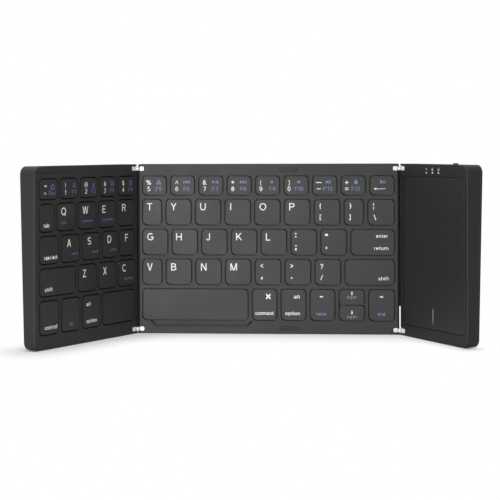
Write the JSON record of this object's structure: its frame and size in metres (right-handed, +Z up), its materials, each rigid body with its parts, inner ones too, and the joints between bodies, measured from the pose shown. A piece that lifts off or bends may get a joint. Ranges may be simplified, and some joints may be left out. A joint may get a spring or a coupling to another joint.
{
  "type": "folding keyboard",
  "caption": "Three-panel folding keyboard with a touch pad wing, standing half folded on its front edge.",
  "frame": {"origin": "middle of the middle panel's front edge, which it stands on, halfway through the panel's thickness at that edge", "axes": "+Z up from the front edge to the rear edge, +X along the middle panel from the left wing to the right wing, +Y out of the middle panel's back, so its keys face -Y"},
  "size_m": [0.2457, 0.0858, 0.0987],
  "materials": {
    "frame_plastic": "fine satin texture, dark grey",
    "cover_plastic": "matte, near black grey",
    "key_plastic": "matte, dark grey, printed legends",
    "touch_surface": "smooth satin",
    "hinge_metal": "satin bright steel",
    "screw_steel": "dark zinc",
    "silicone": "translucent grey silicone domes on film",
    "rubber": "matte",
    "circuit_board": "solder mask",
    "battery_pouch": "foil",
    "port_metal": "polished",
    "knob_plastic": "ribbed",
    "lens_plastic": "milky, clear",
    "cable_film": "thin dark film"
  },
  "bodies": {
    "middle_panel": {"middle_shell": "frame_plastic", "middle_cover": "cover_plastic", "middle_hinge_leaves": "hinge_metal", "hinge_pins": "hinge_metal", "middle_switch_sheet": "silicone", "closing_pads": "rubber", "middle_feet": "rubber", "middle_screws": "screw_steel", "left_ribbon": "cable_film", "right_ribbon": "cable_film"},
    "left_wing": {"left_shell": "frame_plastic", "left_cover": "cover_plastic", "left_hinge_leaves": "hinge_metal", "left_switch_sheet": "silicone", "left_feet": "rubber", "left_screws": "screw_steel"},
    "right_wing": {"right_shell": "frame_plastic", "right_cover": "cover_plastic", "right_hinge_leaves": "hinge_metal", "main_board": "circuit_board", "battery": "battery_pouch", "charging_port": "port_metal", "indicator_lenses": "lens_plastic", "right_feet": "rubber", "right_screws": "screw_steel"},
    "touch_plate": {"touch_plate": "touch_surface"},
    "power_switch": {"power_switch": "knob_plastic"},
    "space_key_left": {"space_key_left": "key_plastic"},
    "number_keys_left": {"number_keys_left": "key_plastic"},
    "modifier_keys_left": {"modifier_keys_left": "key_plastic"},
    "key_q": {"key_q": "key_plastic"},
    "key_w": {"key_w": "key_plastic"},
    "key_e": {"key_e": "key_plastic"},
    "key_r": {"key_r": "key_plastic"},
    "key_a": {"key_a": "key_plastic"},
    "key_s": {"key_s": "key_plastic"},
    "key_d": {"key_d": "key_plastic"},
    "key_f": {"key_f": "key_plastic"},
    "key_z": {"key_z": "key_plastic"},
    "key_x": {"key_x": "key_plastic"},
    "key_c": {"key_c": "key_plastic"},
    "space_key_middle": {"space_key_middle": "key_plastic"},
    "number_keys_middle": {"number_keys_middle": "key_plastic"},
    "symbol_keys": {"symbol_keys": "key_plastic"},
    "command_keys": {"command_keys": "key_plastic"},
    "key_t": {"key_t": "key_plastic"},
    "key_y": {"key_y": "key_plastic"},
    "key_u": {"key_u": "key_plastic"},
    "key_i": {"key_i": "key_plastic"},
    "key_o": {"key_o": "key_plastic"},
    "key_p": {"key_p": "key_plastic"},
    "key_g": {"key_g": "key_plastic"},
    "key_h": {"key_h": "key_plastic"},
    "key_j": {"key_j": "key_plastic"},
    "key_k": {"key_k": "key_plastic"},
    "key_l": {"key_l": "key_plastic"},
    "key_v": {"key_v": "key_plastic"},
    "key_b": {"key_b": "key_plastic"},
    "key_n": {"key_n": "key_plastic"},
    "key_m": {"key_m": "key_plastic"}
  },
  "joints": [
    {"name": "left_fold", "type": "hinge", "parent": "middle_panel", "child": "left_wing", "pos_m": [-0.0754, -0.0043, 0.04895], "axis": [0, 0, 1], "range_deg": [-59.9, 120.1], "deforming": ["left_ribbon"]},
    {"name": "right_fold", "type": "hinge", "parent": "middle_panel", "child": "right_wing", "pos_m": [0.0754, -0.0043, 0.04895], "axis": [0, 0, -1], "range_deg": [-58.3, 121.7], "deforming": ["right_ribbon"]},
    {"name": "touch_click", "type": "hinge", "parent": "right_wing", "child": "touch_plate", "pos_m": [0.09315, -0.03095, 0.0908], "axis": [0.5255, -0.8508, 0], "range_deg": [0, 0.3], "stiffness_Nm_per_rad": 5, "springref_deg": -0.11},
    {"name": "switch_slide", "type": "slide", "parent": "right_wing", "child": "power_switch", "axis": [-0.5255, 0.8508, 0], "range_m": [0, 0.0025]},
    {"name": "press_space_key_left", "type": "slide", "parent": "left_wing", "child": "space_key_left", "axis": [-0.8652, 0.5015, 0], "range_m": [0, 0.0012], "stiffness_N_per_m": 450, "springref_m": -0.0006},
    {"name": "press_number_keys_left", "type": "slide", "parent": "left_wing", "child": "number_keys_left", "axis": [-0.8652, 0.5015, 0], "range_m": [0, 0.0012], "stiffness_N_per_m": 450, "springref_m": -0.0006},
    {"name": "press_modifier_keys_left", "type": "slide", "parent": "left_wing", "child": "modifier_keys_left", "axis": [-0.8652, 0.5015, 0], "range_m": [0, 0.0012], "stiffness_N_per_m": 450, "springref_m": -0.0006},
    {"name": "press_key_q", "type": "slide", "parent": "left_wing", "child": "key_q", "axis": [-0.8652, 0.5015, 0], "range_m": [0, 0.0012], "stiffness_N_per_m": 450, "springref_m": -0.0006},
    {"name": "press_key_w", "type": "slide", "parent": "left_wing", "child": "key_w", "axis": [-0.8652, 0.5015, 0], "range_m": [0, 0.0012], "stiffness_N_per_m": 450, "springref_m": -0.0006},
    {"name": "press_key_e", "type": "slide", "parent": "left_wing", "child": "key_e", "axis": [-0.8652, 0.5015, 0], "range_m": [0, 0.0012], "stiffness_N_per_m": 450, "springref_m": -0.0006},
    {"name": "press_key_r", "type": "slide", "parent": "left_wing", "child": "key_r", "axis": [-0.8652, 0.5015, 0], "range_m": [0, 0.0012], "stiffness_N_per_m": 450, "springref_m": -0.0006},
    {"name": "press_key_a", "type": "slide", "parent": "left_wing", "child": "key_a", "axis": [-0.8652, 0.5015, 0], "range_m": [0, 0.0012], "stiffness_N_per_m": 450, "springref_m": -0.0006},
    {"name": "press_key_s", "type": "slide", "parent": "left_wing", "child": "key_s", "axis": [-0.8652, 0.5015, 0], "range_m": [0, 0.0012], "stiffness_N_per_m": 450, "springref_m": -0.0006},
    {"name": "press_key_d", "type": "slide", "parent": "left_wing", "child": "key_d", "axis": [-0.8652, 0.5015, 0], "range_m": [0, 0.0012], "stiffness_N_per_m": 450, "springref_m": -0.0006},
    {"name": "press_key_f", "type": "slide", "parent": "left_wing", "child": "key_f", "axis": [-0.8652, 0.5015, 0], "range_m": [0, 0.0012], "stiffness_N_per_m": 450, "springref_m": -0.0006},
    {"name": "press_key_z", "type": "slide", "parent": "left_wing", "child": "key_z", "axis": [-0.8652, 0.5015, 0], "range_m": [0, 0.0012], "stiffness_N_per_m": 450, "springref_m": -0.0006},
    {"name": "press_key_x", "type": "slide", "parent": "left_wing", "child": "key_x", "axis": [-0.8652, 0.5015, 0], "range_m": [0, 0.0012], "stiffness_N_per_m": 450, "springref_m": -0.0006},
    {"name": "press_key_c", "type": "slide", "parent": "left_wing", "child": "key_c", "axis": [-0.8652, 0.5015, 0], "range_m": [0, 0.0012], "stiffness_N_per_m": 450, "springref_m": -0.0006},
    {"name": "press_space_key_middle", "type": "slide", "parent": "middle_panel", "child": "space_key_middle", "axis": [0, 1, 0], "range_m": [0, 0.0012], "stiffness_N_per_m": 450, "springref_m": -0.0006},
    {"name": "press_number_keys_middle", "type": "slide", "parent": "middle_panel", "child": "number_keys_middle", "axis": [0, 1, 0], "range_m": [0, 0.0012], "stiffness_N_per_m": 450, "springref_m": -0.0006},
    {"name": "press_symbol_keys", "type": "slide", "parent": "middle_panel", "child": "symbol_keys", "axis": [0, 1, 0], "range_m": [0, 0.0012], "stiffness_N_per_m": 450, "springref_m": -0.0006},
    {"name": "press_command_keys", "type": "slide", "parent": "middle_panel", "child": "command_keys", "axis": [0, 1, 0], "range_m": [0, 0.0012], "stiffness_N_per_m": 450, "springref_m": -0.0006},
    {"name": "press_key_t", "type": "slide", "parent": "middle_panel", "child": "key_t", "axis": [0, 1, 0], "range_m": [0, 0.0012], "stiffness_N_per_m": 450, "springref_m": -0.0006},
    {"name": "press_key_y", "type": "slide", "parent": "middle_panel", "child": "key_y", "axis": [0, 1, 0], "range_m": [0, 0.0012], "stiffness_N_per_m": 450, "springref_m": -0.0006},
    {"name": "press_key_u", "type": "slide", "parent": "middle_panel", "child": "key_u", "axis": [0, 1, 0], "range_m": [0, 0.0012], "stiffness_N_per_m": 450, "springref_m": -0.0006},
    {"name": "press_key_i", "type": "slide", "parent": "middle_panel", "child": "key_i", "axis": [0, 1, 0], "range_m": [0, 0.0012], "stiffness_N_per_m": 450, "springref_m": -0.0006},
    {"name": "press_key_o", "type": "slide", "parent": "middle_panel", "child": "key_o", "axis": [0, 1, 0], "range_m": [0, 0.0012], "stiffness_N_per_m": 450, "springref_m": -0.0006},
    {"name": "press_key_p", "type": "slide", "parent": "middle_panel", "child": "key_p", "axis": [0, 1, 0], "range_m": [0, 0.0012], "stiffness_N_per_m": 450, "springref_m": -0.0006},
    {"name": "press_key_g", "type": "slide", "parent": "middle_panel", "child": "key_g", "axis": [0, 1, 0], "range_m": [0, 0.0012], "stiffness_N_per_m": 450, "springref_m": -0.0006},
    {"name": "press_key_h", "type": "slide", "parent": "middle_panel", "child": "key_h", "axis": [0, 1, 0], "range_m": [0, 0.0012], "stiffness_N_per_m": 450, "springref_m": -0.0006},
    {"name": "press_key_j", "type": "slide", "parent": "middle_panel", "child": "key_j", "axis": [0, 1, 0], "range_m": [0, 0.0012], "stiffness_N_per_m": 450, "springref_m": -0.0006},
    {"name": "press_key_k", "type": "slide", "parent": "middle_panel", "child": "key_k", "axis": [0, 1, 0], "range_m": [0, 0.0012], "stiffness_N_per_m": 450, "springref_m": -0.0006},
    {"name": "press_key_l", "type": "slide", "parent": "middle_panel", "child": "key_l", "axis": [0, 1, 0], "range_m": [0, 0.0012], "stiffness_N_per_m": 450, "springref_m": -0.0006},
    {"name": "press_key_v", "type": "slide", "parent": "middle_panel", "child": "key_v", "axis": [0, 1, 0], "range_m": [0, 0.0012], "stiffness_N_per_m": 450, "springref_m": -0.0006},
    {"name": "press_key_b", "type": "slide", "parent": "middle_panel", "child": "key_b", "axis": [0, 1, 0], "range_m": [0, 0.0012], "stiffness_N_per_m": 450, "springref_m": -0.0006},
    {"name": "press_key_n", "type": "slide", "parent": "middle_panel", "child": "key_n", "axis": [0, 1, 0], "range_m": [0, 0.0012], "stiffness_N_per_m": 450, "springref_m": -0.0006},
    {"name": "press_key_m", "type": "slide", "parent": "middle_panel", "child": "key_m", "axis": [0, 1, 0], "range_m": [0, 0.0012], "stiffness_N_per_m": 450, "springref_m": -0.0006}
  ]
}
